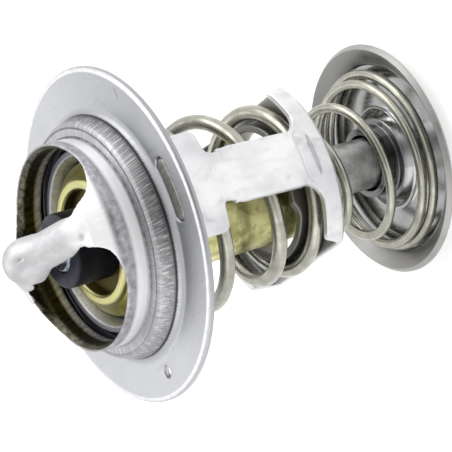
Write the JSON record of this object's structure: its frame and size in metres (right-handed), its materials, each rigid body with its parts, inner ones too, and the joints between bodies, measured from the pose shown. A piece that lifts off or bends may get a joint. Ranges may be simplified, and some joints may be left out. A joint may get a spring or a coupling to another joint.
{
  "type": "engine thermostat",
  "caption": "Round flanged coolant valve with a domed bridge, a sprung main valve on a wax capsule and a dished bypass disc behind its frame.",
  "frame": {"origin": "on the valve axis, at the flange's rear seating face", "axes": "+Z along the valve axis towards the nose, +X towards one leg of the frame, so the vent hole lies at -Y"},
  "size_m": [0.054, 0.054, 0.0739],
  "materials": {
    "housing_steel": "matte drawn sheet with fine scuffs",
    "frame_steel": "bright drawn sheet",
    "spring_steel": "satin, slightly warm",
    "valve_steel": "satin",
    "seal_rubber": "smooth black",
    "sleeve_rubber": "smooth, dark blue grey",
    "capsule_brass": "satin",
    "washer_plastic": "plain",
    "wax": "dull, filled with metal powder",
    "piston_steel": "ground",
    "stem_steel": "dark, drawn",
    "disc_steel": "polished inside, matte on the rim"
  },
  "bodies": {
    "casing": {"housing": "housing_steel", "frame": "frame_steel", "main_spring": "spring_steel", "piston": "piston_steel"},
    "element": {"valve_plate": "valve_steel", "valve_seal": "seal_rubber", "wax_cup": "capsule_brass", "guide": "valve_steel", "guide_sleeve": "sleeve_rubber", "piston_boot": "seal_rubber", "boot_washer": "washer_plastic", "wax_charge": "wax", "stem": "stem_steel", "snap_ring": "piston_steel", "bypass_spring": "spring_steel"},
    "bypass": {"bypass_disc": "disc_steel"}
  },
  "joints": [
    {"name": "valve_slide", "type": "slide", "parent": "casing", "child": "element", "axis": [0, 0, -1], "range_m": [0, 0.008], "stiffness_N_per_m": 6000, "springref_m": -0.0125, "deforming": ["main_spring"]},
    {"name": "bypass_slide", "type": "slide", "parent": "element", "child": "bypass", "axis": [0, 0, 1], "range_m": [0, 0.005], "stiffness_N_per_m": 800, "springref_m": -0.006, "deforming": ["bypass_spring"]}
  ]
}
